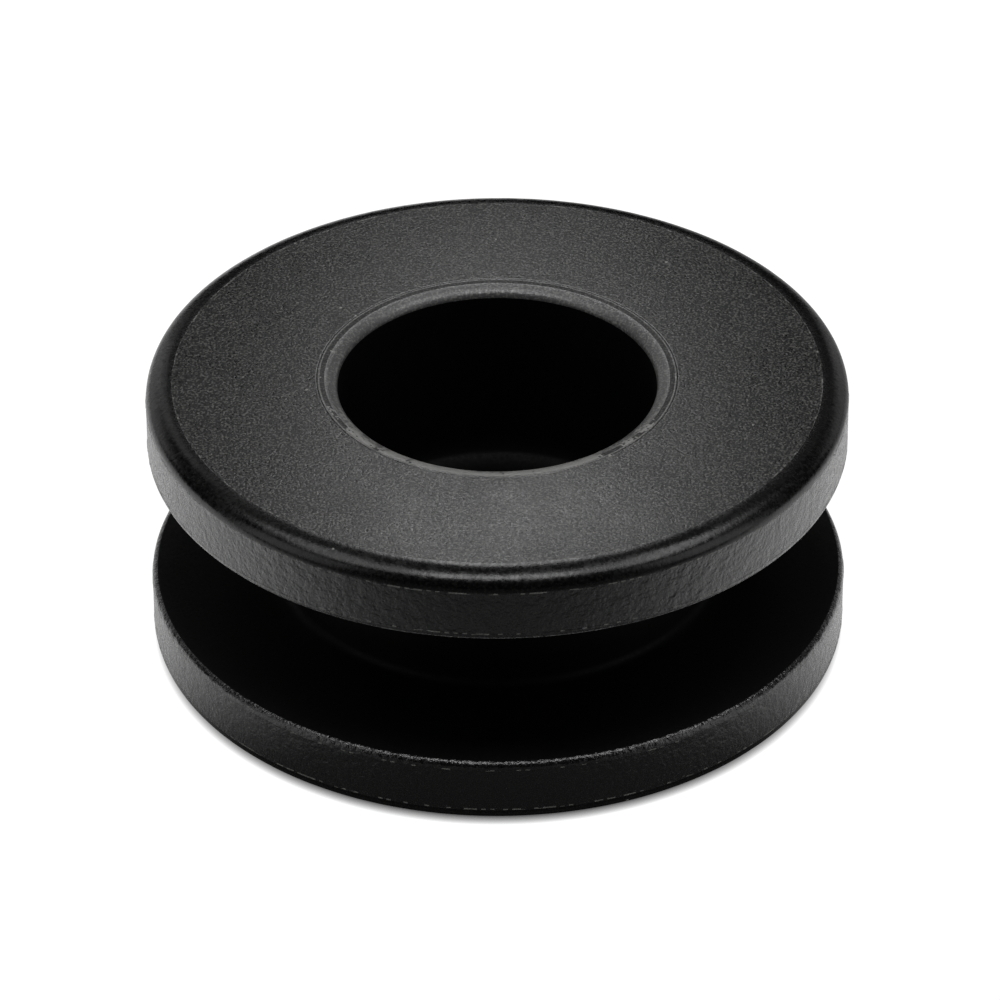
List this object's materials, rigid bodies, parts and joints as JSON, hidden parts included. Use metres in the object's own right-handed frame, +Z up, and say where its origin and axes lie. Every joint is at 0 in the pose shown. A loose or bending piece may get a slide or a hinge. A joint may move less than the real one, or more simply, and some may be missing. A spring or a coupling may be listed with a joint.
{
  "type": "silent block bushing",
  "caption": "Double-flanged rubber bushing: a grooved neck that snaps into a panel's hole, with a round bore through it for a sleeve or bolt.",
  "frame": {"origin": "centre of the lower flange's end face, on the bore's axis", "axes": "+Z up the bore's axis, out of the wide mouth; the part is round, so X and Y are any two radii at right angles"},
  "size_m": [0.04, 0.04, 0.0168],
  "materials": {
    "rubber": "black moulded rubber, fine matt grain with a soft sheen"
  },
  "bodies": {
    "root": {"bushing": "rubber"}
  },
  "joints": []
}
